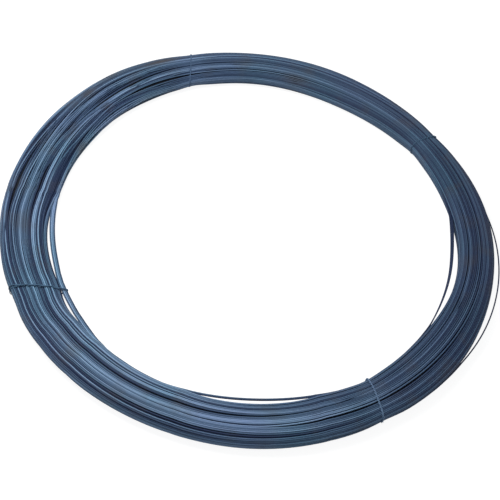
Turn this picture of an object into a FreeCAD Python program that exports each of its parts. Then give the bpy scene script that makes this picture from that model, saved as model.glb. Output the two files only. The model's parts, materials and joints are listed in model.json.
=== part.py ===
import FreeCAD, Part
import math
import os

from FreeCAD import Vector

# A coil of soft annealed wire, lying flat: one turned ring with its bore, held by four tie wires.
# The frame stands on the floor under the middle of the bore: Z is the bore's axis, up. Millimetres.

# ---- Driving dimensions -------------------------------------------------------------------------
bore_d = 450.0            # inside of the coil
bundle_w = 55.0           # radial width of the bundle of turns
coil_h = 28.0             # height of the bundle as it lies
corner_r = 8.5            # rounding of the bundle's section
wire_d = 1.6              # the wire itself, 16 gauge
turn_relief = 0.3         # depth of the furrow between two neighbouring turns
seat_w = 24.0             # flat ring of flattened turns that the coil lies on

tie_d = 3.2               # a tie is two strands of the wire twisted together
tie_seat_gap = 0.2        # between a tie and the turns it holds
tie_sink = 0.2            # a tie lies this far inside the bundle's outline
tie_side_gap = 0.4        # between a tie and each side of its waist in the bundle
tail_len = 17.0           # twisted end of a tie, folded back over the tie
tail_inset = 9.0          # from the bundle's outside to the start of the tail
tail_bite = 0.4           # how far the tail is pressed into the loop it is twisted from

# Direction of each tie from the bore's axis, counted from +X towards +Y, in degrees.
tie_angles = {
    "tie_wire_left": 211.5,
    "tie_wire_near_right": 307.0,
    "tie_wire_far_right": 41.5,
    "tie_wire_back": 114.5,
}

# ---- Worked out from them -----------------------------------------------------------------------
bore_r = bore_d / 2
outer_r = bore_r + bundle_w
middle_r = bore_r + bundle_w / 2
middle_z = coil_h / 2
waist_depth = tie_seat_gap + tie_d + tie_sink
waist_w = tie_d + 2 * tie_side_gap
axis_z = Vector(0, 0, 1)


def point(r, z):
    """A point of the half plane that the coil's section is drawn in."""
    return Vector(r, 0, z)


def ridges(along, length):
    """Arcs over a stretch of outline, one for each turn of wire, with furrows between them.

    along gives the outline's point and its outward normal at a distance from the stretch's start.
    """
    count = max(1, round(length / wire_d))
    step = length / count
    arcs = []
    for i in range(count):
        furrow_a, normal_a = along(i * step)
        crest, _ = along((i + 0.5) * step)
        furrow_b, normal_b = along((i + 1) * step)
        start = furrow_a - normal_a * turn_relief
        end = furrow_b - normal_b * turn_relief
        arcs.append(Part.Arc(start, crest, end).toShape())
    return arcs


def straight(start, end):
    """Outline walker for a straight stretch. Its outward normal is to the left of the way it runs."""
    way = (end - start).normalize()
    normal = Vector(-way.z, 0, way.x)
    return lambda s: (start + way * s, normal)


def corner(centre, from_deg):
    """Outline walker for a rounded corner, clockwise from from_deg."""

    def along(s):
        turn = math.radians(from_deg) - s / corner_r
        normal = Vector(math.cos(turn), 0, math.sin(turn))
        return centre + normal * corner_r, normal

    return along


def coil_section():
    """Face of the coil's section: bore wall and outside plain, ends and corners ridged, seat flat."""
    low_z = corner_r
    high_z = coil_h - corner_r
    in_r = bore_r + corner_r
    out_r = outer_r - corner_r
    seat_in = middle_r - seat_w / 2
    seat_out = middle_r + seat_w / 2
    quarter = corner_r * math.pi / 2
    return closed_face([
        ridges(corner(point(in_r, high_z), 180), quarter),
        ridges(straight(point(in_r, coil_h), point(out_r, coil_h)), out_r - in_r),
        ridges(corner(point(out_r, high_z), 90), quarter),
        (point(outer_r, high_z), point(outer_r, low_z)),
        ridges(corner(point(out_r, low_z), 0), quarter),
        ridges(straight(point(out_r, 0), point(seat_out, 0)), out_r - seat_out),
        (point(seat_out, 0), point(seat_in, 0)),
        ridges(straight(point(seat_in, 0), point(in_r, 0)), seat_in - in_r),
        ridges(corner(point(in_r, low_z), 270), quarter),
        (point(bore_r, low_z), point(bore_r, high_z)),
    ])


def closed_face(stretches):
    """Joins ridged stretches and plain lines, in order, with short steps where a furrow meets a line."""
    first = first_point(stretches[0])
    here = first
    edges = []
    for stretch in stretches:
        start = first_point(stretch)
        if here.distanceToPoint(start) > 1e-6:
            edges.append(Part.makeLine(here, start))
        if isinstance(stretch, tuple):
            edges.append(Part.makeLine(*stretch))
            here = stretch[1]
        else:
            edges += stretch
            here = stretch[-1].lastVertex().Point
    if here.distanceToPoint(first) > 1e-6:
        edges.append(Part.makeLine(here, first))
    return Part.Face(Part.Wire(edges))


def first_point(stretch):
    """Where a stretch of the outline starts."""
    if isinstance(stretch, tuple):
        return stretch[0]
    return stretch[0].firstVertex().Point


def rounded_box(half_w, half_h, radius):
    """Closed outline of a rounded box round the middle of the coil's section."""
    flat_w = half_w - radius
    flat_h = half_h - radius
    mid = radius * math.sqrt(0.5)
    arcs = []
    for right, up in ((1, 1), (1, -1), (-1, -1), (-1, 1)):
        centre = point(middle_r + right * flat_w, middle_z + up * flat_h)
        side = centre + point(right * radius, 0)
        cap = centre + point(0, up * radius)
        start, end = (cap, side) if right == up else (side, cap)
        arcs.append(Part.Arc(start, centre + point(right * mid, up * mid), end).toShape())
    edges = []
    for arc, after in zip(arcs, arcs[1:] + arcs[:1]):
        edges += [arc, Part.makeLine(arc.lastVertex().Point, after.firstVertex().Point)]
    return Part.Wire(edges)


def across(shape, angle):
    """The same shape, turned about the bore's axis to stand at an angle of the ring."""
    turned = shape.copy()
    turned.rotate(Vector(0, 0, 0), axis_z, angle)
    return turned


def waist_cutter():
    """What a tie's waist takes from the bundle: a slot round the section, of the tie's own width."""
    spare = waist_depth
    slot = Part.makeBox(
        bundle_w + 2 * spare,
        waist_w,
        coil_h + 2 * spare,
        Vector(bore_r - spare, -waist_w / 2, -spare),
    )
    neck_face = Part.Face(
        rounded_box(bundle_w / 2 - waist_depth, coil_h / 2 - waist_depth, corner_r - waist_depth)
    )
    neck_face.translate(Vector(0, -waist_w, 0))
    return slot.cut(neck_face.extrude(Vector(0, 2 * waist_w, 0)))


def make_coil():
    """The whole length of wire as one turned solid, with a waist at each tie."""
    coil = coil_section().revolve(Vector(0, 0, 0), axis_z, 360)
    cutter = waist_cutter()
    for angle in tie_angles.values():
        coil = coil.cut(across(cutter, angle))
    return coil


def make_tie():
    """A tie at angle 0: the loop round the waist, and its twisted end folded back over the loop."""
    inset = tie_sink + tie_d / 2
    loop_path = rounded_box(bundle_w / 2 - inset, coil_h / 2 - inset, corner_r - inset)
    start = loop_path.Edges[0].firstVertex().Point
    way = loop_path.Edges[0].tangentAt(loop_path.Edges[0].FirstParameter)
    ring = Part.Wire(Part.makeCircle(tie_d / 2, start, way))
    loop = loop_path.makePipeShell([ring], True, False)
    tail_z = coil_h - inset + tie_d - tail_bite
    tail_start = point(outer_r - tail_inset, tail_z)
    tail = Part.makeCylinder(tie_d / 2, tail_len, tail_start, Vector(-1, 0, 0))
    return loop.fuse(tail)


def only_solid(shape, name):
    """The one valid solid in a shape, since a node is one piece."""
    if len(shape.Solids) != 1 or not shape.Solids[0].isValid():
        raise ValueError(f"{name} isn't one valid solid")
    return shape.Solids[0]


os.makedirs("parts", exist_ok=True)
nodes = {"wire_coil": make_coil()}
tie = make_tie()
for name, angle in tie_angles.items():
    nodes[name] = across(tie, angle)
for name, shape in nodes.items():
    only_solid(shape, name).exportStep(f"parts/{name}.step")
    print(name, round(shape.Volume), "mm3")
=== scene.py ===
"""Looks of a coil of black annealed wire: the turns of the bundle, its ties, and a plain studio round it.

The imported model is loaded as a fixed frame. The turned solid is replaced by the turns of wire that it
stands for, over a plain core, and each plain tie by its two twisted strands. Metres, Z up.
"""

import json
import logging
import math
from dataclasses import dataclass
from enum import Enum
from typing import Optional

import bpy
import numpy as np
from mathutils import Matrix, Vector

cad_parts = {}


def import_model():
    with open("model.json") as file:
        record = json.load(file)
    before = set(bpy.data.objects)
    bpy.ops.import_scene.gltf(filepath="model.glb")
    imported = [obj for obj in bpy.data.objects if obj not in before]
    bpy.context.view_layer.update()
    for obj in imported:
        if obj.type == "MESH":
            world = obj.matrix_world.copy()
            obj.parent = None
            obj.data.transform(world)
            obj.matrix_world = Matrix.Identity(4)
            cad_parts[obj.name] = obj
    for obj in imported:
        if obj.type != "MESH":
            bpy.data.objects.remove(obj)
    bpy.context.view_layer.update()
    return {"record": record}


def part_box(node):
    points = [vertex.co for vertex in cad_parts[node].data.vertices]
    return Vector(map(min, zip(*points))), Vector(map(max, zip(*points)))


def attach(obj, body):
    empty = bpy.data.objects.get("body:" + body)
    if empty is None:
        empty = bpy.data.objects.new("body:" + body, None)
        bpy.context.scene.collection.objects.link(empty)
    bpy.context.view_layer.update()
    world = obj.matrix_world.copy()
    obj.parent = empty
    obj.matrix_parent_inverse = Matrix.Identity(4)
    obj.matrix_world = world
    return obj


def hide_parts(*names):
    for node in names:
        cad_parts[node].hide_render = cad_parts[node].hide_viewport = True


LOG = logging.getLogger("wire_coil")
MM = 0.001
TAU = 2 * math.pi
INSIDE = -1.0
OUTSIDE = 1.0
TINY = 1e-9
LEAST_SIDE = 0.05
BLACK = (0.0, 0.0, 0.0)
WHITE = (1.0, 1.0, 1.0)


# ---- Shapes of the ring -------------------------------------------------------------------------


@dataclass(frozen=True)
class Lobe:
    """One wave round the ring: how many lobes, how high, and the direction of the first one."""

    count: int
    height: float
    towards_deg: float

    def at(self, turn: np.ndarray) -> np.ndarray:
        """Height of the wave at each angle of the ring, in radians."""
        return self.height * np.cos(self.count * (turn - math.radians(self.towards_deg)))


@dataclass(frozen=True)
class Recess:
    """A stretch where one edge of the bundle draws back."""

    side: float
    start_deg: float
    end_deg: float
    depth: float
    blunt: float = 0.6

    def at(self, turn: np.ndarray) -> np.ndarray:
        """How far the edge draws back at each angle of the ring.

        Args:
            turn: angles of the ring in radians.

        Returns:
            Metres at each angle.
        """
        middle = math.radians((self.start_deg + self.end_deg) / 2)
        half = math.radians((self.end_deg - self.start_deg) / 2)
        away = np.clip(np.abs(turned(turn - middle)) / half, 0, 1)
        return self.depth * np.cos(away * math.pi / 2) ** self.blunt


@dataclass(frozen=True)
class Tie:
    """Where a tie stands on the ring, and how its strands lie."""

    node: str
    angle_deg: float
    lean_deg: float
    strand_gap: float
    twist_length: float
    splay: float
    tail_at: float
    tail_drift_deg: float
    sink: float
    tone: float


def turned(value: np.ndarray) -> np.ndarray:
    """An angle brought to between minus half a turn and half a turn."""
    return (value + math.pi) % TAU - math.pi


def smooth_knots(knots: np.ndarray, at: np.ndarray) -> np.ndarray:
    """A soft curve through evenly spaced random knots.

    Args:
        knots: values at whole numbers, one more than the highest place asked for.
        at: places along the knots.

    Returns:
        The eased values at those places.
    """
    low = np.floor(at).astype(int)
    low = np.clip(low, 0, len(knots) - 2)
    part = at - low
    ease = part * part * (3 - 2 * part)
    return knots[low] * (1 - ease) + knots[low + 1] * ease


@dataclass(frozen=True)
class Smudge:
    """A soiled place on the turns: its middle on the ring, and its size along and across the wire."""

    angle_deg: float
    radius: float
    length: float
    width: float
    strength: float = 1.0

    def at(self, turn: np.ndarray, radius: np.ndarray) -> np.ndarray:
        """How soiled each point is, from its angle of the ring and its radius.

        Args:
            turn: angles of the ring in radians.
            radius: metres from the bore's axis.

        Returns:
            Shares from 0 to 1.
        """
        along = turned(turn - math.radians(self.angle_deg)) * radius / self.length
        across = (radius - self.radius) / self.width
        return self.strength * np.exp(-(along**2) - across**2)


@dataclass(frozen=True)
class PaintedLightStretch:
    """A stretch of the ring painted lighter or darker at its inner and at its outer edge: painted light
    and shade.
    """

    angle_deg: float
    spread_deg: float
    inner: float
    outer: float

    def at(self, turn: np.ndarray, outward: np.ndarray) -> np.ndarray:
        """Painted light and shade added to the tone at each point, from its angle and its place between
        the edges, -1 to 1.

        Args:
            turn: angles of the ring in radians.
            outward: places between the inner edge, -1, and the outer, 1.

        Returns:
            Changes of tone.
        """
        away = turned(turn - math.radians(self.angle_deg)) / math.radians(self.spread_deg)
        part = np.clip(0.5 + 0.5 * outward, 0, 1)
        return np.exp(-(away**2)) * (self.inner * (1 - part) + self.outer * part)


@dataclass
class RingShape:
    """The bundle's section all round the ring, worked out from the CAD coil's box.

    The bundle is widest at the left, where it lies flattest, and narrowest at the right, where the
    ties at both ends of that stretch pull it round.
    """

    outer_r: float
    bore_r: float
    wire_d: float = 1.6 * MM
    mean_width: float = 50.5 * MM
    mean_height: float = 26.3 * MM
    flatness: float = 0.5
    corner_power: float = 2.5
    tie_pinch: float = 1.2 * MM
    tie_lift: float = 2.0 * MM
    tie_pinch_deg: float = 4.0
    stations: int = 240
    outline_points: int = 360
    inner_ease: float = 1.8 * MM
    outer_ease: float = 2.2 * MM
    inner_lobes: tuple[Lobe, ...] = (
        Lobe(1, 3.65 * MM, 13),
        Lobe(2, 1.3 * MM, 67),
        Lobe(3, 3.0 * MM, 3),
        Lobe(5, 0.7 * MM, 27),
        Lobe(6, 0.9 * MM, -3),
        Lobe(7, 0.9 * MM, -7),
        Lobe(8, 0.4 * MM, -5),
    )
    outer_lobes: tuple[Lobe, ...] = (
        Lobe(1, 4.4 * MM, -146),
        Lobe(2, 2.4 * MM, -30),
        Lobe(3, 1.1 * MM, 4),
        Lobe(4, 0.3 * MM, -29),
        Lobe(5, 0.8 * MM, 0),
        Lobe(6, 1.0 * MM, 18),
        Lobe(7, 0.8 * MM, 25),
    )
    tie_angles: tuple[float, ...] = ()
    recesses: tuple[Recess, ...] = ()

    def __post_init__(self) -> None:
        """Works out the section at every station once."""
        self.turn = np.arange(self.stations) * TAU / self.stations
        pinch = np.zeros(self.stations)
        for angle in self.tie_angles:
            away = turned(self.turn - math.radians(angle)) / math.radians(self.tie_pinch_deg)
            pinch += np.exp(-(away**2))
        inner = self.bore_r + self.inner_ease + sum(lobe.at(self.turn) for lobe in self.inner_lobes)
        outer = self.outer_r - self.outer_ease + sum(lobe.at(self.turn) for lobe in self.outer_lobes)
        height = self.mean_height * (self.mean_width / (outer - inner)) ** self.flatness
        self.rim = {INSIDE: inner + self.tie_pinch * pinch, OUTSIDE: outer - self.tie_pinch * pinch}
        inner = self.rim[INSIDE] + self._drawn_back(INSIDE)
        outer = self.rim[OUTSIDE] - self._drawn_back(OUTSIDE)
        self.middle = (inner + outer) / 2
        self.half_w = (outer - inner) / 2
        bottom = self.tie_lift * pinch
        top = height - self.tie_pinch * pinch
        self.half_h = (top - bottom) / 2
        self.middle_z = (top + bottom) / 2
        self._measure_outlines()

    def _drawn_back(self, side: float) -> np.ndarray:
        """How far one edge of the bundle draws back from the whole ring's rim at every station.

        Args:
            side: INSIDE or OUTSIDE.

        Returns:
            Metres at every station.
        """
        mine = [recess.at(self.turn) for recess in self.recesses if recess.side == side]
        return np.sum(mine, axis=0) if mine else np.zeros(self.stations)

    def edge(self, side: float) -> np.ndarray:
        """Outermost or innermost reach of the whole ring, measured from the section's middle."""
        return self.rim[side] - self.middle

    def station(self, angle_deg: float) -> int:
        """Number of the station nearest to an angle of the ring."""
        return int(round(angle_deg / 360 * self.stations)) % self.stations

    def _measure_outlines(self) -> None:
        """Tables of each station's outline: its points, its normals and the share of its length."""
        lean = np.linspace(0, TAU, self.outline_points + 1)
        c = np.cos(lean)
        s = np.sin(lean)
        n = self.corner_power
        reach = (np.abs(c) ** n + np.abs(s) ** n) ** (-1 / n)
        u = self.half_w[:, None] * (c * reach)[None, :]
        z = self.half_h[:, None] * (s * reach)[None, :]
        step = np.hypot(np.diff(u, axis=1), np.diff(z, axis=1))
        length = np.concatenate([np.zeros((self.stations, 1)), np.cumsum(step, axis=1)], axis=1)
        self.around = length[:, -1]
        self.share = length / self.around[:, None]
        self.outline = np.stack([u, z], axis=-1)

    def place(self, share: np.ndarray, depth: np.ndarray) -> np.ndarray:
        """Points of the section, from shares of the outline and depths below it.

        Args:
            share: place along each station's outline from 0 to 1, as [turn, station].
            depth: metres below the outline, as [turn, station].

        Returns:
            Points as [turn, station, (outward, up)] from the section's middle.
        """
        out = np.empty(share.shape + (2,))
        for i in range(self.stations):
            at = share[:, i] % 1
            for k in range(2):
                out[:, i, k] = np.interp(at, self.share[i], self.outline[i, :, k])
        slope = self.gradient(out)
        steep = np.linalg.norm(slope, axis=-1, keepdims=True)
        return out - slope / steep * depth[..., None]

    def level(self, p: np.ndarray) -> np.ndarray:
        """How far out a point lies: 0 at the section's middle and 1 on its outline.

        Args:
            p: points of the section as [turn, station, (outward, up)].

        Returns:
            Levels as [turn, station].
        """
        n = self.corner_power
        u = np.abs(p[..., 0] / self.half_w) ** n
        z = np.abs(p[..., 1] / self.half_h) ** n
        return np.maximum(u + z, TINY) ** (1 / n)

    def gradient(self, p: np.ndarray) -> np.ndarray:
        """Gradient of the level, which points out of the section.

        Args:
            p: points of the section as [turn, station, (outward, up)].

        Returns:
            Directions of the same shape as the points.
        """
        n = self.corner_power
        level = self.level(p)
        u = np.sign(p[..., 0]) * np.abs(p[..., 0]) ** (n - 1) / self.half_w**n
        z = np.sign(p[..., 1]) * np.abs(p[..., 1]) ** (n - 1) / self.half_h**n
        return np.stack([u, z], axis=-1) * (level ** (1 - n))[..., None] + TINY

    def share_of(self, p: np.ndarray) -> np.ndarray:
        """Place along the outline, from 0 to 1, that each point of the section is nearest to.

        Args:
            p: points of the section as [turn, station, (outward, up)].

        Returns:
            Shares as [turn, station].
        """
        lean = np.arctan2(p[..., 1] / self.half_h, p[..., 0] / self.half_w) / TAU % 1
        column = np.minimum((lean * self.outline_points).astype(int), self.outline_points - 1)
        return self.share[np.arange(self.stations)[None, :], column]

    def world(self, p: np.ndarray, turn: np.ndarray, station: np.ndarray) -> np.ndarray:
        """Points in the row's frame.

        Args:
            p: points of the section, (outward, up) from its middle.
            turn: each point's angle of the ring in radians.
            station: each point's station number.

        Returns:
            Points as (x, y, z).
        """
        r = self.middle[station] + p[:, 0]
        return np.stack(
            [r * np.cos(turn), r * np.sin(turn), p[:, 1] + self.middle_z[station]], axis=-1
        )


# ---- The turns ----------------------------------------------------------------------------------


@dataclass(frozen=True)
class LooseRun:
    """A stretch where a few turns lie clear of the bundle, side by side."""

    side: float
    start_deg: float
    end_deg: float
    level: float
    turns: int = 1
    beyond: float = 0.0
    peak_deg: float = 0.0
    # How light the loose turns are painted; below 0.5 it is painted shade, darker than the bundle.
    tone: float = 0.5
    stacked: bool = False
    settle_deg: float = 14.0
    pitch: float = 0.95
    stagger: float = 0.15
    least_abreast: float = 0.05

    def swell(self, turn: np.ndarray) -> np.ndarray:
        """How far the stretch stands clear at each angle: 0 at its ends and 1 at its peak.

        Args:
            turn: angles of the ring in radians.

        Returns:
            Shares from 0 to 1.
        """
        away = turned(turn - math.radians(self.peak_deg))
        before = math.radians(self.peak_deg - self.start_deg)
        after = math.radians(self.end_deg - self.peak_deg)
        part = np.where(away < 0, away / before, away / after)
        return np.cos(np.clip(np.abs(part), 0, 1) * math.pi / 2)

    def abreast(self, turn: np.ndarray) -> np.ndarray:
        """How far side by side the turns lie: a stacked run starts with them on each other.

        Args:
            turn: angles of the ring in radians.

        Returns:
            Shares from 0 to 1.
        """
        if not self.stacked:
            return np.ones(len(turn))
        span = math.radians(self.end_deg - self.start_deg)
        return np.clip(turned(turn - math.radians(self.start_deg)) / span, self.least_abreast, 1)

    def hold(self, turn: np.ndarray) -> np.ndarray:
        """How strictly the turns keep to their line: 1 over the stretch, fading beyond its ends.

        Args:
            turn: angles of the ring in radians.

        Returns:
            Shares from 0 to 1.
        """
        middle = math.radians((self.start_deg + self.end_deg) / 2)
        half = math.radians((self.end_deg - self.start_deg) / 2)
        past = (np.abs(turned(turn - middle)) - half) / math.radians(self.settle_deg)
        return 0.5 + 0.5 * np.cos(math.pi * np.clip(past, 0, 1))


@dataclass
class Bunches:
    """Bunches of turns that run side by side round the ring and ride over each other.

    Each bunch has its own path along the bundle's outline, its own width and its own lift, and its
    turns lie in an arch, so that neighbouring bunches are parted by grooves.
    """

    shape: RingShape
    rng: np.random.Generator
    count: int = 26
    calm_sway: float = 0.9 * MM
    busy_sway: float = 2.6 * MM
    calm_lift: float = 0.35 * MM
    busy_lift: float = 0.75 * MM
    arch: float = 1.5 * MM
    crest_depth: float = 0.45 * MM
    deepest_groove: float = 3.2 * MM
    uneven_start: float = 0.25
    plump: float = 0.62
    plump_spread: float = 0.14
    slimmest: float = 0.4
    plumpest: float = 0.95
    tone_spread: float = 0.6
    changeover: float = 0.36
    busy_from_deg: float = 105
    busy_to_deg: float = 205
    lively_deg: float = 220
    calm_relief: float = 0.42
    relief_fall: float = 2.4

    def __post_init__(self) -> None:
        """Draws every bunch's path once."""
        turn = self.shape.turn
        middle = math.radians((self.busy_from_deg + self.busy_to_deg) / 2)
        half = math.radians((self.busy_to_deg - self.busy_from_deg) / 2)
        away = np.clip(np.abs(turned(turn - middle)) / half, 0, 1)
        busy = 0.5 + 0.5 * np.cos(math.pi * away**2)
        around = self.shape.around
        uneven = self.rng.uniform(-self.uneven_start, self.uneven_start, self.count)
        start = (np.arange(self.count) + uneven) / self.count
        sway = self.calm_sway * self.waves((1, 2, 3)) * (1 - busy)
        sway += self.busy_sway * self.waves((4, 5, 6, 7)) * busy
        self.offset = sway / around[None, :]
        self.centre = start[:, None] + self.offset
        plump = self.plump + self.plump_spread * self.waves((1, 2, 3))
        self.half_width = np.clip(plump, self.slimmest, self.plumpest) / self.count
        self.lift = self.calm_lift * self.waves((1, 2, 4)) * (1 - busy)
        self.lift += self.busy_lift * self.waves((3, 4, 5)) * busy
        self.tone = np.clip(self.tone_spread * self.waves((1, 2, 3, 5)), -1, 1)
        near = 0.5 + 0.5 * np.cos(turn - math.radians(self.lively_deg))
        self.relief = self.calm_relief + (1 - self.calm_relief) * near**self.relief_fall
        self.hull = self._hull()

    def waves(self, lobes: tuple[int, ...]) -> np.ndarray:
        """One smooth random curve round the ring for each bunch.

        Args:
            lobes: how many waves each part of the curve has round the ring.

        Returns:
            Values with a spread of about 1, as [bunch, station].
        """
        size = math.sqrt(2 / len(lobes))
        curve = np.zeros((self.count, self.shape.stations))
        for lobe in lobes:
            phase = self.rng.uniform(0, TAU, (self.count, 1))
            curve += size * np.cos(lobe * self.shape.turn[None, :] + phase)
        return curve

    def _hull(self) -> np.ndarray:
        """Depth of the topmost bunch below the outline, as [station, column of the outline]."""
        columns = np.arange(self.shape.outline_points) / self.shape.outline_points
        away = (columns[None, None, :] - self.centre[:, :, None] + 0.5) % 1 - 0.5
        x = away / self.half_width[:, :, None]
        depth = self.arch * x**2 - self.lift[:, :, None] + self.crest_depth
        depth = np.clip(depth.min(axis=0), 0, self.deepest_groove)
        even = depth.mean(axis=1, keepdims=True)
        return even + self.relief[:, None] * (depth - even)

    def hull_depth(self, share: np.ndarray) -> np.ndarray:
        """Depth of the topmost bunch at places of the outline, as [turn, station]."""
        column = (share % 1 * self.shape.outline_points).astype(int) % self.shape.outline_points
        return self.hull[np.arange(self.shape.stations)[None, :], column]

    def pick(self, field: np.ndarray, share: np.ndarray) -> np.ndarray:
        """A bunch's own value for each turn, changing over quickly between two bunches.

        Args:
            field: values as [bunch, station].
            share: the turns' first places on the outline, as [turn, station].

        Returns:
            Values as [turn, station].
        """
        place = share % 1 * self.count - 0.5
        low = np.floor(place).astype(int)
        part = np.clip((place - low - 0.5) / self.changeover + 0.5, 0, 1)
        ease = part * part * (3 - 2 * part)
        station = np.arange(self.shape.stations)[None, :]
        here = field[low % self.count, station]
        there = field[(low + 1) % self.count, station]
        return here * (1 - ease) + there * ease


@dataclass
class WireBundle:
    """The wire, wound in turns that lie beside, over and under each other.

    Only the outer layers of turns are made, since the rest can't be seen. They are one winding: each
    turn ends where the next begins, and drifts round the section by one place as it goes. Turns that
    would run into each other are pushed apart until they lie side by side.
    """

    shape: RingShape
    bunches: Bunches
    rng: np.random.Generator
    layers: int = 3
    crowding: float = 0.9
    layer_step: float = 1.45 * MM
    wander: float = 0.7 * MM
    wander_knots: float = 4.3
    dive: float = 0.35 * MM
    dive_knots: float = 5.1
    least_depth: float = 0.5 * MM
    layer_change: float = 0.7
    rounds: int = 64
    pairs_every: int = 8
    pair_reach: float = 1.6
    push_share: float = 0.75
    pull_share: float = 0.04
    loose_pull: float = 0.6
    lift_share: float = 0.6
    rise_share: float = 0.4
    layer_slack: float = 0.2
    tone_knots: float = 2.7
    tone_wander: float = 0.6
    tone_bunch: float = 0.15
    rub_glint_knots: float = 3.1
    rub_glint_from: float = 0.7
    rub_glint_tone: float = 1.8
    painted_edge_shades: tuple[tuple[float, float], ...] = ((0.4, 0.2), (0.85, 0.9))
    shade_depth: float = 3.2 * MM
    low_soil: float = 0.5
    loose: tuple[LooseRun, ...] = ()
    painted_light_stretches: tuple[PaintedLightStretch, ...] = ()
    smudges: tuple[Smudge, ...] = ()
    tube_sides: int = 7
    pieces: int = 5

    def slots(self) -> None:
        """Gives each turn its place on the outline and its layer, layer after layer."""
        wire = self.shape.wire_d
        around = float(self.shape.around.mean())
        counts = []
        for layer in range(self.layers):
            inside = around - TAU * (layer + 0.5) * self.layer_step
            counts.append(int(inside / wire * self.crowding))
        self.turns = sum(counts)
        starts = np.cumsum([0] + counts)
        time = np.arange(self.turns * self.shape.stations) / self.shape.stations
        layer = np.searchsorted(starts[1:], time, side="right")
        place = time - starts[layer]
        sinking = np.clip(place / self.layer_change, 0, 1)
        before = np.maximum(layer - 1, 0)
        deep = before + (layer - before) * sinking * sinking * (3 - 2 * sinking)
        grid = (self.turns, self.shape.stations)
        self.share = (place / np.array(counts)[layer]).reshape(grid)
        self.layer = deep.reshape(grid)
        self.time = time.reshape(grid)

    def noise(self, knots_each_turn: float) -> np.ndarray:
        """Smooth random wander along the whole winding, with values of about -1 to 1.

        Args:
            knots_each_turn: random values drawn for each turn of the winding.

        Returns:
            Values as [turn, station].
        """
        places = self.time * knots_each_turn
        knots = self.rng.uniform(-1, 1, int(self.turns * knots_each_turn) + 2)
        return smooth_knots(knots, places)

    def routes(self) -> None:
        """First run of every turn, before the turns push each other apart."""
        around = self.shape.around[None, :]
        offset = self.bunches.pick(self.bunches.offset, self.share)
        share = self.share + offset + self.wander * self.noise(self.wander_knots) / around
        top = self.bunches.hull_depth(share)
        depth = top + 0.5 * self.shape.wire_d + self.layer * self.layer_step
        depth = depth + self.dive * self.noise(self.dive_knots)
        self.wish = self.shape.place(share, np.maximum(depth, self.least_depth))
        self.free = np.zeros(self.share.shape)
        self.loose_shade = np.full(self.share.shape, 0.5)
        for run in self.loose:
            self._free(run)
        self.at = self.wish.copy()

    def _free(self, run: LooseRun) -> None:
        """Takes the turns of a loose stretch out of the bundle over the stretch's length.

        Args:
            run: the loose stretch.
        """
        wire = self.shape.wire_d
        stations = self.shape.stations
        hold = run.hold(self.shape.turn)
        abreast = run.abreast(self.shape.turn)
        clear = run.beyond * run.swell(self.shape.turn) - 0.5 * wire
        edge = self.shape.edge(run.side) + run.side * clear
        middle = self.shape.station((run.start_deg + run.end_deg) / 2)
        aim = np.array([edge[middle], run.level])
        gap = np.linalg.norm(self.wish[:, middle] - aim, axis=-1)
        gap[self.free[:, middle] > 0] = np.inf
        nearest = np.argsort(gap)[: run.turns]
        chosen = sorted(nearest, key=lambda row: -run.side * self.wish[row, middle, 0])
        wish = self.wish.reshape(-1, 2)
        free = self.free.reshape(-1)
        for k, row in enumerate(chosen):
            place = row * stations + middle + np.arange(-stations // 2, stations // 2)
            place = place[(place >= 0) & (place < len(wish))]
            station = place % stations
            keep = hold[station]
            line_u = edge[station] - run.side * k * run.pitch * wire * abreast[station]
            line_z = run.level + (k % 2) * run.stagger * wire
            line_z = line_z + k * wire * np.sqrt(1 - abreast[station] ** 2)
            wish[place, 0] += keep * (line_u - wish[place, 0])
            wish[place, 1] += keep * (line_z - wish[place, 1])
            free[place] = np.maximum(free[place], keep)
            self.loose_shade.reshape(-1)[place[keep > 0]] = run.tone

    def settle(self) -> None:
        """Pushes turns that run into each other apart, a little in each round."""
        wire = self.shape.wire_d
        turns, stations = self.share.shape
        for step in range(self.rounds):
            if step % self.pairs_every == 0:
                a, b, column = self._close_pairs(self.pair_reach * wire)
            gap = self.at[a, column] - self.at[b, column]
            far = np.maximum(np.linalg.norm(gap, axis=-1), 1e-6)
            push = np.maximum(wire - far, 0) / far * 0.5
            move = gap * push[:, None]
            total = np.zeros((turns * stations, 2))
            flat_a = a * stations + column
            flat_b = b * stations + column
            for k in range(2):
                total[:, k] += np.bincount(flat_a, move[:, k], turns * stations)
                total[:, k] -= np.bincount(flat_b, move[:, k], turns * stations)
            self.at += self.push_share * total.reshape(turns, stations, 2)
            self.at += self.pull_share * (self.wish - self.at)
            self.at += self.free[..., None] * self.loose_pull * (self.wish - self.at)
            self._keep_inside()
            self._straighten()
        self._keep_inside()

    def _close_pairs(self, reach: float) -> tuple[np.ndarray, np.ndarray, np.ndarray]:
        """Pairs of turns that lie near each other, and the stations where they do.

        Args:
            reach: how near, in metres, both outward and upward.

        Returns:
            First turns, second turns and stations, of equal length.
        """
        turns, stations = self.share.shape
        upper = np.triu(np.ones((turns, turns), bool), 1)
        first = []
        second = []
        column = []
        for i in range(stations):
            p = self.at[:, i].astype(np.float32)
            du = np.abs(p[:, None, 0] - p[None, :, 0])
            dz = np.abs(p[:, None, 1] - p[None, :, 1])
            a, b = np.nonzero((du < reach) & (dz < reach) & upper)
            first.append(a)
            second.append(b)
            column.append(np.full(len(a), i))
        return np.concatenate(first), np.concatenate(second), np.concatenate(column)

    def depth(self) -> np.ndarray:
        """Depth of every turn's middle below the outline."""
        return (1 - self.shape.level(self.at)) / np.linalg.norm(self.shape.gradient(self.at), axis=-1)

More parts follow.
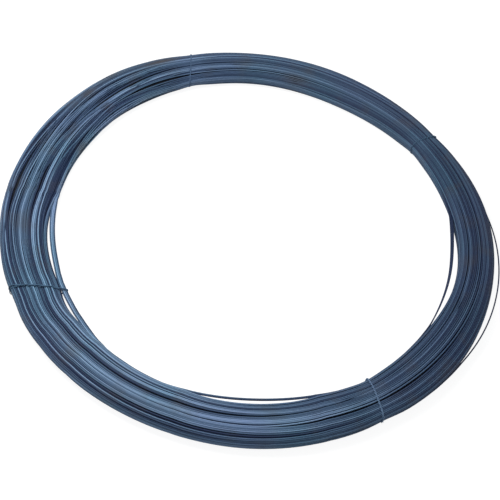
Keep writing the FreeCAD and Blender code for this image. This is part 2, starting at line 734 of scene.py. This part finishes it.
    def _keep_inside(self) -> None:
        """Moves turns that stand out of the bunches' hull, or sink too deep, back into the layers."""
        slope = self.shape.gradient(self.at)
        steep = np.linalg.norm(slope, axis=-1)
        depth = self.depth()
        least = self.bunches.hull_depth(self.shape.share_of(self.at)) + self.shape.wire_d / 2
        lift = np.maximum(least - depth, 0) * (1 - self.free)
        most = least + (self.layers - self.layer_slack) * self.layer_step
        rise = np.maximum(depth - most, 0)
        move = self.lift_share * lift - self.rise_share * rise
        self.at -= slope / steep[..., None] * move[..., None]
        floor = self.shape.wire_d / 2 - self.shape.middle_z[None, :]
        self.at[..., 1] = np.maximum(self.at[..., 1], floor)

    def _straighten(self) -> None:
        """Evens out each turn along the winding, as the wire's own stiffness does."""
        line = self.at.reshape(-1, 2)
        soft = line.copy()
        soft[1:-1] = 0.25 * line[:-2] + 0.5 * line[1:-1] + 0.25 * line[2:]
        self.at = soft.reshape(self.at.shape)

    def lines(self) -> np.ndarray:
        """Centre line of the whole winding in the row's frame."""
        turns, stations = self.share.shape
        station = np.tile(np.arange(stations), turns)
        return self.shape.world(self.at.reshape(-1, 2), self.shape.turn[station], station)

    def marks(self) -> dict[str, np.ndarray]:
        """Colour marks of the wire at every point: how light its scale is, with painted light, shade and
        highlights added, its painted shade from how deep it lies, and its soil.
        """
        turn = self.shape.turn[None, :]
        relief = self.bunches.relief[None, :]
        bunch = self.bunches.pick(self.bunches.tone, self.share)
        # Worn, lighter stretches of wire that also stand in for highlights: partly wear and partly painted
        # highlight.
        rubbed_and_glints = np.clip(self.noise(self.rub_glint_knots) - self.rub_glint_from, 0, 1) * self.rub_glint_tone
        outward = self.at[..., 0] / self.shape.half_w
        uneven = self.tone_bunch * bunch + self.tone_wander * self.noise(self.tone_knots) + rubbed_and_glints
        tone = 0.5 + relief * uneven
        # Painted shade: the tone darkens towards the outer edge of the bundle.
        for start, amount in self.painted_edge_shades:
            tone -= amount * np.clip(outward - start, 0, 1)
        # Painted light and shade by angle of the ring and place between the inner and outer edge.
        tone += sum(painted_stretch.at(turn, outward) for painted_stretch in self.painted_light_stretches)
        # Painted shade: loose turns are darkened to their run's tone.
        tone += self.free * (self.loose_shade - 0.5)
        # Painted shade: turns that lie deeper below the outline are darkened, as shade falls in the
        # grooves.
        below = (self.depth() - 0.6 * self.shape.wire_d) / self.shade_depth
        groove_shade = np.clip(below, 0, 1) * (1 - self.free)
        radius = self.at[..., 0] + self.shape.middle
        low = np.clip(-self.at[..., 1] / self.shape.half_h, 0, 1) * np.clip(outward, 0, 1)
        soil = self.low_soil * low + sum(smudge.at(turn, radius) for smudge in self.smudges)
        marks = {"tone": tone, "groove_shade": groove_shade, "soil": soil}
        return {name: np.clip(values, 0, 1).ravel() for name, values in marks.items()}

    def build(self) -> list[bpy.types.Object]:
        """Makes the turns as a few pieces of one winding.

        Returns:
            The pieces, from the first turn to the last.
        """
        self.slots()
        self.routes()
        self.settle()
        line = self.lines()
        marks = self.marks()
        stations = self.shape.stations
        each = math.ceil(self.turns / self.pieces)
        made = []
        for k in range(self.pieces):
            part = slice(k * each * stations, min((k + 1) * each * stations + 1, len(line)))
            own = {name: values[part] for name, values in marks.items()}
            name = f"wire_turns_{k + 1}"
            made.append(tube(name, line[part], self.shape.wire_d / 2, self.tube_sides, own))
        LOG.info("wire turns: %d turns, %.0f m of wire", self.turns, line_length(line))
        return made


def line_length(line: np.ndarray) -> float:
    """Length of a line of points."""
    return float(np.linalg.norm(np.diff(line, axis=0), axis=1).sum())


def tube(
    name: str, line: np.ndarray, radius: float, sides: int, marks: dict[str, np.ndarray]
) -> bpy.types.Object:
    """A closed round tube along a line of points.

    Args:
        name: the new object's name.
        line: points of its centre line.
        radius: the tube's radius.
        sides: flat sides round the tube, shaded smooth.
        marks: named values at each point of the line, kept as attributes.

    Returns:
        The object, with a UV map that mixes metres along the tube and turns round it from face to
        face. The streaks and the grain are read from it.
    """
    tangent = np.gradient(line, axis=0)
    tangent /= np.linalg.norm(tangent, axis=1, keepdims=True)
    side = np.cross(tangent, [0.0, 0.0, 1.0])
    thin = np.linalg.norm(side, axis=1, keepdims=True)
    level = thin > LEAST_SIDE
    side = carried(np.where(level, side / np.maximum(thin, TINY), 0), tangent, level[:, 0])
    up = np.cross(side, tangent)
    lean = np.arange(sides) * TAU / sides
    ring = side[:, None, :] * np.cos(lean)[None, :, None]
    ring = ring + up[:, None, :] * np.sin(lean)[None, :, None]
    points = (line[:, None, :] + radius * ring).reshape(-1, 3)
    rows = len(line)
    i = np.arange(rows - 1)[:, None]
    j = np.arange(sides)[None, :]
    after = (j + 1) % sides
    corners = ((0, j), (0, after), (1, after), (1, j))
    quads = [(i + row) * sides + column for row, column in corners]
    quads = np.stack(np.broadcast_arrays(*quads), axis=-1).reshape(-1, 4)
    caps = [list(range(sides))[::-1], [(rows - 1) * sides + k for k in range(sides)]]
    mesh = bpy.data.meshes.new(name)
    mesh.from_pydata(points.tolist(), [], quads.tolist() + caps)
    along = np.concatenate([[0], np.cumsum(np.linalg.norm(np.diff(line, axis=0), axis=1))])
    loops = [
        np.stack(np.broadcast_arrays(along[i + row], (j + column) / sides), axis=-1)
        for row, column in ((0, 0), (0, 1), (1, 1), (1, 0))
    ]
    uv = np.moveaxis(np.concatenate(loops, axis=-1), -1, -2).reshape(-1, 2)
    cap_uv = np.zeros((2 * sides, 2))
    cap_uv[sides:, 0] = along[-1]
    layer = mesh.uv_layers.new(name="along_wire")
    layer.data.foreach_set("uv", np.concatenate([uv, cap_uv]).ravel())
    for mark, values in marks.items():
        attribute = mesh.attributes.new(mark, "FLOAT", "POINT")
        attribute.data.foreach_set("value", np.repeat(values, sides).astype(np.float32))
    mesh.polygons.foreach_set("use_smooth", [True] * len(quads) + [False, False])
    mesh.update()
    thing = bpy.data.objects.new(name, mesh)
    bpy.context.collection.objects.link(thing)
    return thing


def carried(side: np.ndarray, tangent: np.ndarray, good: np.ndarray) -> np.ndarray:
    """Side vectors for a whole line, carried along where the line runs straight up.

    Args:
        side: side vectors, zero where they couldn't be worked out.
        tangent: the line's directions.
        good: which side vectors can be used.

    Returns:
        Unit side vectors that don't turn over.
    """
    if good.all():
        return side
    out = side.copy()
    start = int(np.argmax(good))
    before = out[start]
    for k in range(len(side)):
        flat = before - tangent[k] * np.dot(before, tangent[k])
        flat /= max(np.linalg.norm(flat), TINY)
        out[k] = flat
        before = flat
    return out


# ---- The ties -----------------------------------------------------------------------------------


@dataclass
class TieWire:
    """One tie: two strands of thinner wire round the bundle, twisted together, with a twisted tail."""

    tie: Tie
    shape: RingShape
    bundle: WireBundle
    strand_d: float = 1.05 * MM
    sides: int = 10
    step: float = 0.7 * MM
    tail_length: float = 11 * MM
    tail_twist: float = 5.0 * MM
    seat: float = 0.52
    tail_rise: float = 1.3
    leans: int = 180
    smoothing: tuple[float, ...] = (1 / 9, 2 / 9, 3 / 9, 2 / 9, 1 / 9)

    def __post_init__(self) -> None:
        """Keeps the tie's place on the ring and its directions."""
        turn = math.radians(self.tie.angle_deg)
        self.station = self.shape.station(self.tie.angle_deg)
        self.radial = np.array([math.cos(turn), math.sin(turn), 0.0])
        self.across = np.array([-math.sin(turn), math.cos(turn), 0.0])

    def girth(self) -> np.ndarray:
        """Closed line round the turns at this tie, as a tight strand lies on them.

        Returns:
            Points of the section as (outward, up) from its middle, anticlockwise.
        """
        discs = self.bundle.at[:, self.station]
        lean = np.linspace(0, TAU, self.leans, endpoint=False)
        way = np.stack([np.cos(lean), np.sin(lean)], axis=-1)
        seat = (self.shape.wire_d + self.strand_d) / 2 - self.tie.sink
        reach = (discs @ way.T).max(axis=0) + seat
        middle = len(self.smoothing) // 2
        reach = sum(w * np.roll(reach, k - middle) for k, w in enumerate(self.smoothing))
        slope = (np.roll(reach, -1) - np.roll(reach, 1)) / (lean[2] - lean[0])
        u = reach * np.cos(lean) - slope * np.sin(lean)
        z = reach * np.sin(lean) + slope * np.cos(lean)
        floor = self.strand_d * 0.6 - self.shape.middle_z[self.station]
        return np.stack([u, np.maximum(z, floor)], axis=-1)

    def build(self) -> bpy.types.Object:
        """Makes both strands and joins them.

        Returns:
            The tie as one object.
        """
        line, out = self._spaced_girth()
        parts = [self._strand(line, out, k) for k in range(2)]
        parts += [self._tail(line, out, k) for k in range(2)]
        return joined(parts, self.tie.node.replace("tie_wire", "twisted_tie"))

    def _tube(self, name: str, path: np.ndarray) -> bpy.types.Object:
        """A strand along a path, kept off the floor.

        Args:
            name: which strand of the tie it is.
            path: points of its middle.

        Returns:
            The strand.
        """
        path[:, 2] = np.maximum(path[:, 2], self.strand_d * self.seat)
        none = np.zeros(len(path))
        marks = {"tone": none + self.tie.tone, "groove_shade": none, "soil": none}
        return tube(f"{self.tie.node}_{name}", path, self.strand_d / 2, self.sides, marks)

    def _spaced_girth(self) -> tuple[np.ndarray, np.ndarray]:
        """Evenly spaced points round the bundle in the row's frame, and their outward directions.

        Returns:
            Points and directions as (x, y, z).
        """
        ring = self.girth()
        ring = np.concatenate([ring, ring[:1]])
        along = np.concatenate([[0], np.cumsum(np.linalg.norm(np.diff(ring, axis=0), axis=1))])
        at = np.linspace(0, along[-1], int(along[-1] / self.step))
        p = np.stack([np.interp(at, along, ring[:, k]) for k in range(2)], axis=-1)
        way = np.gradient(p, axis=0)
        way /= np.linalg.norm(way, axis=1, keepdims=True)
        lean = math.tan(math.radians(self.tie.lean_deg))
        r = self.shape.middle[self.station] + p[:, 0]
        line = r[:, None] * self.radial + self.across * (p[:, 0] * lean)[:, None]
        line[:, 2] = p[:, 1] + self.shape.middle_z[self.station]
        out = way[:, 1][:, None] * self.radial
        out[:, 2] = -way[:, 0]
        return line, out

    def _strand(self, line: np.ndarray, out: np.ndarray, k: int) -> bpy.types.Object:
        """One strand of the loop, wound about the other.

        Args:
            line: points round the bundle.
            out: outward directions at them.
            k: 0 or 1, which of the two strands.

        Returns:
            The strand.
        """
        along = np.concatenate([[0], np.cumsum(np.linalg.norm(np.diff(line, axis=0), axis=1))])
        whole = max(1, round(along[-1] / self.tie.twist_length))
        phase = along / along[-1] * whole * TAU + k * math.pi
        outward = line @ self.radial - self.shape.middle[self.station]
        apart = np.clip(outward / self.shape.half_w[self.station], 0, 1) ** 2
        sideways = self.tie.strand_gap * np.cos(phase) + (2 * k - 1) * self.tie.splay * apart
        upwards = self.strand_d * self.seat * (1 + np.sin(phase))
        path = line + self.across * sideways[:, None] + out * upwards[:, None]
        return self._tube(f"strand_{k}", path)

    def _tail(self, line: np.ndarray, out: np.ndarray, k: int) -> bpy.types.Object:
        """One strand of the twisted end, which lies folded down beside the loop.

        Args:
            line: points round the bundle.
            out: outward directions at them.
            k: 0 or 1, which of the two strands.

        Returns:
            The strand.
        """
        outward = line @ self.radial
        under = line[:, 2] < np.median(line[:, 2])
        reach = self.shape.rim[OUTSIDE][self.station] - self.shape.rim[INSIDE][self.station]
        aim = self.shape.rim[INSIDE][self.station] + self.tie.tail_at * reach
        start = int(np.argmin(np.abs(outward - aim) + under * 1.0))
        row = np.arange(int(self.tail_length / self.step))
        at = row * self.step
        index = (start + row) % len(line)
        eased = np.sin(np.clip(at / (4 * self.strand_d), 0, 1) * math.pi / 2)
        rise = self.strand_d * self.tail_rise * eased
        drift = math.tan(math.radians(self.tie.tail_drift_deg)) * at
        phase = at / self.tail_twist * TAU + k * math.pi
        sideways = drift + self.strand_d * 0.5 * np.cos(phase)
        upwards = rise + self.strand_d * 0.5 * np.sin(phase)
        path = line[index] + self.across * sideways[:, None] + out[index] * upwards[:, None]
        return self._tube(f"tail_{k}", path)


def joined(parts: list[bpy.types.Object], name: str) -> bpy.types.Object:
    """Joins objects into the first one and names it.

    Args:
        parts: objects to join.
        name: the joined object's name.

    Returns:
        The joined object.
    """
    bpy.ops.object.select_all(action="DESELECT")
    for part in parts:
        part.select_set(True)
    bpy.context.view_layer.objects.active = parts[0]
    bpy.ops.object.join()
    parts[0].name = name
    parts[0].data.name = name
    return parts[0]


# ---- The core -----------------------------------------------------------------------------------


@dataclass
class Core:
    """Plain body of the hidden turns, which only shows as darkness between the outer ones."""

    shape: RingShape
    depth: float = 5.6 * MM
    sides: int = 24

    def build(self) -> bpy.types.Object:
        """Adds a torus and draws each of its rings to the bundle's section there.

        Returns:
            The core.
        """
        bpy.ops.object.select_all(action="DESELECT")
        middle = (self.shape.outer_r + self.shape.bore_r) / 2
        bpy.ops.mesh.primitive_torus_add(
            major_segments=self.shape.stations,
            minor_segments=self.sides,
            major_radius=middle,
            minor_radius=self.shape.mean_height / 2,
            location=(0, 0, 0),
        )
        core = bpy.context.active_object
        core.name = "hidden_turns"
        n = self.shape.corner_power
        for vertex in core.data.vertices:
            x, y, z = vertex.co
            turn = math.atan2(y, x) % TAU
            station = int(round(turn / TAU * self.shape.stations)) % self.shape.stations
            lean = math.atan2(z, math.hypot(x, y) - middle)
            c = math.cos(lean)
            s = math.sin(lean)
            reach = (abs(c) ** n + abs(s) ** n) ** (-1 / n)
            r = self.shape.middle[station] + c * reach * (self.shape.half_w[station] - self.depth)
            up = self.shape.middle_z[station] + s * reach * (self.shape.half_h[station] - self.depth)
            vertex.co = (r * math.cos(turn), r * math.sin(turn), up)
        bpy.ops.object.shade_smooth()
        return core


# ---- Finishes -----------------------------------------------------------------------------------


class Scale(Enum):
    """How much dirt the annealing scale on a piece holds."""

    CLEAN = 0.1
    EVEN = 0.3


@dataclass(frozen=True)
class AnnealedFinish:
    """Blue-black scale of annealed steel wire, with worn stretches that also stand for painted highlights,
    painted light and shade, painted shade in the grooves, temper colours and a little dirt.
    """

    name: str
    scale: Scale = Scale.EVEN
    dark: tuple[float, float, float] = (0.011, 0.024, 0.066)
    middle: tuple[float, float, float] = (0.070, 0.129, 0.212)
    light: tuple[float, float, float] = (0.24, 0.36, 0.53)
    teal: tuple[float, float, float] = (0.86, 1.0, 0.98)
    violet: tuple[float, float, float] = (0.98, 0.94, 1.0)
    dirt: tuple[float, float, float] = (0.075, 0.066, 0.062)
    metallic: float = 0.15
    roughness: float = 0.5
    grain_roughness: float = 0.22
    streak_tone: float = 0.9
    grain_tone: float = 0.3
    groove_shade_tone: float = 0.45
    soil_cover: float = 0.75

    def material(self) -> bpy.types.Material:
        """Builds the node material.

        Returns:
            The material.
        """
        mat = bpy.data.materials.new(self.name)
        mat.use_nodes = True
        tree = Nodes(mat.node_tree)
        shader = tree.shader(metallic=self.metallic, roughness=self.roughness)
        place = tree.add("ShaderNodeTexCoord").outputs["Object"]
        wire = tree.add("ShaderNodeUVMap", uv_map="along_wire").outputs["UV"]
        tone, groove_shade, soil = (
            tree.add("ShaderNodeAttribute", attribute_name=mark).outputs["Fac"]
            for mark in ("tone", "groove_shade", "soil")
        )
        streaks = tree.noise(tree.scaled(wire, (14.0, 0.0, 0.0)), 1.0, 3.0)
        grain = tree.noise(tree.scaled(wire, (260.0, 3.0, 0.0)), 1.0, 2.0)
        for pattern, amount in ((streaks, self.streak_tone), (grain, self.grain_tone)):
            change = tree.math("MULTIPLY", tree.math("SUBTRACT", pattern, 0.5), amount)
            tone = tree.math("ADD", tone, change)
        # Painted shade in the grooves darkens the tone.
        tone = tree.math("SUBTRACT", tone, tree.math("MULTIPLY", groove_shade, self.groove_shade_tone))
        colour = tree.ramp(tone, ((0.1, self.dark), (0.5, self.middle), (0.95, self.light)))
        temper = tree.noise(place, 13.0, 2.0)
        hue = tree.ramp(temper, ((0.36, self.teal), (0.5, WHITE), (0.64, self.violet)))
        colour = tree.mix(1.0, colour, hue, "MULTIPLY")
        patch = tree.ramp(tree.noise(place, 34.0, 4.0), ((0.52, BLACK), (0.7, WHITE)))
        dust = tree.math("MULTIPLY", patch, self.scale.value)
        dirty = tree.math("MAXIMUM", dust, tree.math("MULTIPLY", soil, self.soil_cover))
        soiled = tree.mix(dirty, colour, self.dirt)
        tree.link(soiled, shader.inputs["Base Color"])
        uneven = tree.math("MULTIPLY", grain, self.grain_roughness)
        rough = tree.math("ADD", uneven, self.roughness - 0.08)
        tree.link(rough, shader.inputs["Roughness"])
        bump = tree.add("ShaderNodeBump")
        bump.inputs["Strength"].default_value = 0.25
        bump.inputs["Distance"].default_value = 0.05 * MM
        tree.link(grain, bump.inputs["Height"])
        tree.link(bump.outputs["Normal"], shader.inputs["Normal"])
        return mat


class Nodes:
    """A short way to write a material's nodes."""

    def __init__(self, tree: bpy.types.NodeTree) -> None:
        """Keeps the tree, emptied."""
        self.tree = tree
        tree.nodes.clear()

    def add(self, kind: str, **values: object) -> bpy.types.Node:
        """Adds a node and sets its plain values.

        Args:
            kind: the node's type.
            **values: its settings by name.

        Returns:
            The node.
        """
        node = self.tree.nodes.new(kind)
        for key, value in values.items():
            setattr(node, key, value)
        return node

    def link(self, out: bpy.types.NodeSocket, into: bpy.types.NodeSocket) -> None:
        """Joins two sockets."""
        self.tree.links.new(out, into)

    def put(self, value: object, into: bpy.types.NodeSocket) -> None:
        """Gives a socket a link, a number or a colour.

        Args:
            value: what it gets.
            into: the socket.
        """
        if isinstance(value, bpy.types.NodeSocket):
            self.link(value, into)
        elif isinstance(value, tuple):
            into.default_value = value + (1.0,)
        else:
            into.default_value = value

    def shader(self, metallic: float, roughness: float) -> bpy.types.Node:
        """The surface shader, joined to the output.

        Args:
            metallic: 0 to 1.
            roughness: 0 to 1.

        Returns:
            The shader's node.
        """
        shader = self.add("ShaderNodeBsdfPrincipled")
        shader.inputs["Metallic"].default_value = metallic
        shader.inputs["Roughness"].default_value = roughness
        shader.inputs["Specular IOR Level"].default_value = 0.3
        end = self.add("ShaderNodeOutputMaterial")
        self.link(shader.outputs["BSDF"], end.inputs["Surface"])
        return shader

    def scaled(
        self, vector: bpy.types.NodeSocket, scale: tuple[float, float, float]
    ) -> bpy.types.NodeSocket:
        """A vector stretched along each of its axes.

        Args:
            vector: the vector.
            scale: how much along each axis.

        Returns:
            The stretched vector.
        """
        node = self.add("ShaderNodeMapping")
        node.inputs["Scale"].default_value = scale
        self.link(vector, node.inputs["Vector"])
        return node.outputs["Vector"]

    def noise(
        self, vector: bpy.types.NodeSocket, scale: float, detail: float
    ) -> bpy.types.NodeSocket:
        """Soft noise of about 0 to 1.

        Args:
            vector: where it is read.
            scale: waves in a unit.
            detail: finer layers.

        Returns:
            The noise.
        """
        node = self.add("ShaderNodeTexNoise")
        node.inputs["Scale"].default_value = scale
        node.inputs["Detail"].default_value = detail
        self.link(vector, node.inputs["Vector"])
        return node.outputs["Fac"]

    def math(self, way: str, a: object, b: object) -> bpy.types.NodeSocket:
        """One sum of two values.

        Args:
            way: the sum's name.
            a: first value or link.
            b: second value or link.

        Returns:
            The result.
        """
        node = self.add("ShaderNodeMath", operation=way)
        self.put(a, node.inputs[0])
        self.put(b, node.inputs[1])
        return node.outputs["Value"]

    def seen(self) -> bpy.types.NodeSocket:
        """1 where the camera or a reflection looks, and 0 for light that falls on things."""
        path = self.add("ShaderNodeLightPath")
        return self.math("MAXIMUM", path.outputs["Is Camera Ray"], path.outputs["Is Glossy Ray"])

    def ramp(self, value: bpy.types.NodeSocket, stops: tuple) -> bpy.types.NodeSocket:
        """Colours between two or more stops.

        Args:
            value: place along the stops.
            stops: each one's place and colour.

        Returns:
            The colour.
        """
        node = self.add("ShaderNodeValToRGB")
        self.link(value, node.inputs["Fac"])
        marks = node.color_ramp.elements
        while len(marks) < len(stops):
            marks.new(0.5)
        for mark, (place, colour) in zip(marks, stops):
            mark.position = place
            mark.color = tuple(colour) + (1.0,)
        return node.outputs["Color"]

    def mix(self, amount: object, a: object, b: object, way: str = "MIX") -> bpy.types.NodeSocket:
        """A blend of two colours.

        Args:
            amount: share of the second.
            a: first colour.
            b: second colour.
            way: how they blend.

        Returns:
            The colour.
        """
        node = self.add("ShaderNodeMix", data_type="RGBA", blend_type=way)
        self.put(amount, node.inputs["Factor"])
        self.put(a, node.inputs[6])
        self.put(b, node.inputs[7])
        return node.outputs[2]


# ---- The studio ---------------------------------------------------------------------------------


@dataclass(frozen=True)
class Studio:
    """Camera, lights, floor and background."""

    distance: float = 1.45
    elevation_deg: float = 51.35
    aim: tuple[float, float, float] = (0.0011, -0.0322, 0.0135)
    roll_deg: float = 9.2
    focal_px: float = 1286.0
    picture_px: float = 500.0
    floor_size: float = 8.0
    floor_grey: float = 0.24
    floor_glow: float = 0.9
    sky_fill: float = 0.35
    key_place: tuple[float, float, float] = (-0.30, -0.02, 0.66)
    key_size: float = 0.4
    key_power: float = 4.3

    def camera(self) -> None:
        """Adds the camera, looking down on the coil along +Y."""
        lift = math.radians(self.elevation_deg)
        back = self.distance * math.cos(lift)
        eye = Vector((0, -back, self.distance * math.sin(lift) + self.aim[2]))
        ahead = (Vector(self.aim) - eye).normalized()
        right = ahead.cross(Vector((0, 0, 1))).normalized()
        up = right.cross(ahead)
        roll = math.radians(self.roll_deg)
        x = right * math.cos(roll) + up * math.sin(roll)
        y = up * math.cos(roll) - right * math.sin(roll)
        data = bpy.data.cameras.new("camera")
        data.sensor_width = 36.0
        data.lens = self.focal_px / self.picture_px * data.sensor_width
        camera = bpy.data.objects.new("camera", data)
        bpy.context.collection.objects.link(camera)
        turn = Matrix((x, y, -ahead)).transposed().to_4x4()
        camera.matrix_world = Matrix.Translation(eye) @ turn
        bpy.context.scene.camera = camera
        bpy.context.scene.view_settings.view_transform = "Standard"

    def lamp(self, name: str, place: tuple[float, float, float], size: float, power: float) -> None:
        """Adds a square soft lamp that points at the coil.

        Args:
            name: its name.
            place: where it hangs.
            size: its side in metres.
            power: its power in watts.
        """
        data = bpy.data.lights.new(name, "AREA")
        data.size = size
        data.energy = power
        lamp = bpy.data.objects.new(name, data)
        lamp.location = place
        lamp.rotation_euler = (-Vector(place)).to_track_quat("-Z", "Y").to_euler()
        bpy.context.collection.objects.link(lamp)

    def lights(self) -> None:
        """Adds the soft lamps and a pale sky that the camera sees as white."""
        self.lamp("key_lamp", self.key_place, self.key_size, self.key_power)
        world = bpy.data.worlds.new("sky")
        world.use_nodes = True
        tree = Nodes(world.node_tree)
        seen = tree.seen()
        sky = tree.add("ShaderNodeBackground")
        sky.inputs["Color"].default_value = (0.93, 0.96, 1.0, 1.0)
        tree.link(tree.math("MAXIMUM", seen, self.sky_fill), sky.inputs["Strength"])
        end = tree.add("ShaderNodeOutputWorld")
        tree.link(sky.outputs["Background"], end.inputs["Surface"])
        bpy.context.scene.world = world

    def floor(self) -> None:
        """Adds a pale floor that keeps the coil's shadow and is otherwise seen as white."""
        bpy.ops.object.select_all(action="DESELECT")
        bpy.ops.mesh.primitive_plane_add(size=self.floor_size, location=(0, 0, 0))
        floor = bpy.context.active_object
        floor.name = "floor"
        mat = bpy.data.materials.new("pale_floor")
        mat.use_nodes = True
        tree = Nodes(mat.node_tree)
        shader = tree.shader(metallic=0.0, roughness=0.9)
        shader.inputs["Base Color"].default_value = (*[self.floor_grey] * 3, 1.0)
        shader.inputs["Emission Color"].default_value = (*WHITE, 1.0)
        seen = tree.seen()
        tree.link(tree.math("MULTIPLY", seen, self.floor_glow), shader.inputs["Emission Strength"])
        floor.data.materials.append(mat)


# ---- The whole coil -----------------------------------------------------------------------------

SEED = 11

# Each tie's node, angle, lean, strand gap, twist length, splay, tail's place and drift, sink and tone.
TIES = (
    Tie("tie_wire_left", 211.2, -23.0, 0.45 * MM, 30 * MM, 1.7 * MM, 0.9, 5, 0.5 * MM, 0.4),
    Tie("tie_wire_near_right", 307.3, -13.0, 0.6 * MM, 8 * MM, 0.0, 0.1, 0, 0.7 * MM, 0.65),
    Tie("tie_wire_far_right", 41.5, -8.0, 0.6 * MM, 9 * MM, 0.0, 0.95, 0, 1.2 * MM, 0.4),
    Tie("tie_wire_back", 115.0, -18.0, 0.6 * MM, 9 * MM, 0.0, 0.1, 0, 1.2 * MM, 0.45),
)

RECESSES = (
    Recess(INSIDE, 180, 233, 4.9 * MM, 0.4),
    Recess(INSIDE, 184, 210, 3.6 * MM),
    Recess(INSIDE, 214, 224, 3.4 * MM),
    Recess(INSIDE, 260, 294, 5.2 * MM, 0.7),
)

# Loose stretches; their tones are painted shade, darker than the bundle.
LOOSE_RUNS = (
    LooseRun(OUTSIDE, -29.5, 18, level=0.0, beyond=6.3 * MM, peak_deg=-5, tone=0.02),
    LooseRun(INSIDE, -26, 17, 1 * MM, 3, beyond=8.8 * MM, peak_deg=-1, tone=0.1, stacked=True),
    LooseRun(INSIDE, 261, 293, level=4 * MM, turns=2, tone=0.25),
    LooseRun(INSIDE, 184, 228, level=3 * MM, turns=4, tone=0.42),
)

# Painted light and shade round the ring: each stretch's angle, spread, and the tone added at its inner and
# at its outer edge.
PAINTED_LIGHT_STRETCHES = (
    PaintedLightStretch(252, 55, 0.12, 0.0),
    PaintedLightStretch(156, 42, 0.13, 0.14),
    PaintedLightStretch(212, 30, 0.0, -0.15),
    PaintedLightStretch(285, 32, 0.05, 0.14),
    PaintedLightStretch(350, 48, -0.06, -0.22),
    PaintedLightStretch(28, 30, 0.0, -0.22),
)

SMUDGES = (
    Smudge(122.5, 269 * MM, 24 * MM, 5 * MM),
    Smudge(130.0, 219 * MM, 14 * MM, 8 * MM),
    Smudge(84.3, 236 * MM, 16 * MM, 6 * MM, 0.7),
    Smudge(160.2, 224 * MM, 10 * MM, 4 * MM, 0.8),
    Smudge(146.5, 216 * MM, 12 * MM, 6 * MM, 0.9),
    Smudge(144.5, 270 * MM, 12 * MM, 6 * MM, 0.8),
    Smudge(136.2, 277 * MM, 22 * MM, 5 * MM, 0.8),
)


def ring_shape(frame: dict) -> RingShape:
    """The ring's sizes, from the CAD coil's box and its bore mount.


    Returns:
        The ring's shape.
    """
    low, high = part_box("wire_coil")
    bore = next(m for m in frame["record"]["mounts"] if m["name"] == "bore")
    return RingShape(
        outer_r=(high[0] - low[0]) / 2,
        bore_r=bore["dims"]["r_mm"] * MM,
        tie_angles=tuple(tie.angle_deg for tie in TIES),
        recesses=RECESSES,
    )


def dress(
    piece: bpy.types.Object, mat: bpy.types.Material, node: Optional[str] = None
) -> None:
    """Gives a piece its finish, its body and the CAD node that it stands for.

    Args:
        piece: the object.
        mat: its finish.
        node: the CAD node that it replaces, if any.
    """
    piece.data.materials.clear()
    piece.data.materials.append(mat)
    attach(piece, "root")
    if node:
        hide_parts(node)


def main() -> None:
    """Builds the coil, its ties and the studio in order."""
    logging.basicConfig(level=logging.INFO, format="%(name)s: %(message)s")
    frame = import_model()
    studio = Studio()
    studio.camera()
    studio.lights()
    studio.floor()

    wire_finish = AnnealedFinish("annealed_wire").material()
    tie_finish = AnnealedFinish("tie_wire", Scale.CLEAN).material()
    # Near-black copy of the wire's finish for the core: painted shade between the outer turns, darker than
    # the wire itself.
    core_shade_finish = AnnealedFinish(
        "hidden_wire_shade",
        Scale.CLEAN,
        dark=(0.005, 0.008, 0.015),
        middle=(0.008, 0.012, 0.020),
        light=(0.020, 0.030, 0.050),
        roughness=0.8,
    ).material()

    shape = ring_shape(frame)
    rng = np.random.default_rng(SEED)
    bunches = Bunches(shape, rng)
    bundle = WireBundle(
        shape, bunches, rng, loose=LOOSE_RUNS, painted_light_stretches=PAINTED_LIGHT_STRETCHES, smudges=SMUDGES
    )
    turns = bundle.build()
    core = Core(shape).build()
    for piece in turns:
        dress(piece, wire_finish, "wire_coil")
    dress(core, core_shade_finish, "wire_coil")
    for tie in TIES:
        piece = TieWire(tie, shape, bundle).build()
        dress(piece, tie_finish, tie.node)
        LOG.info("%s: %d faces", piece.name, len(piece.data.polygons))


if __name__ == "__main__":
    main()
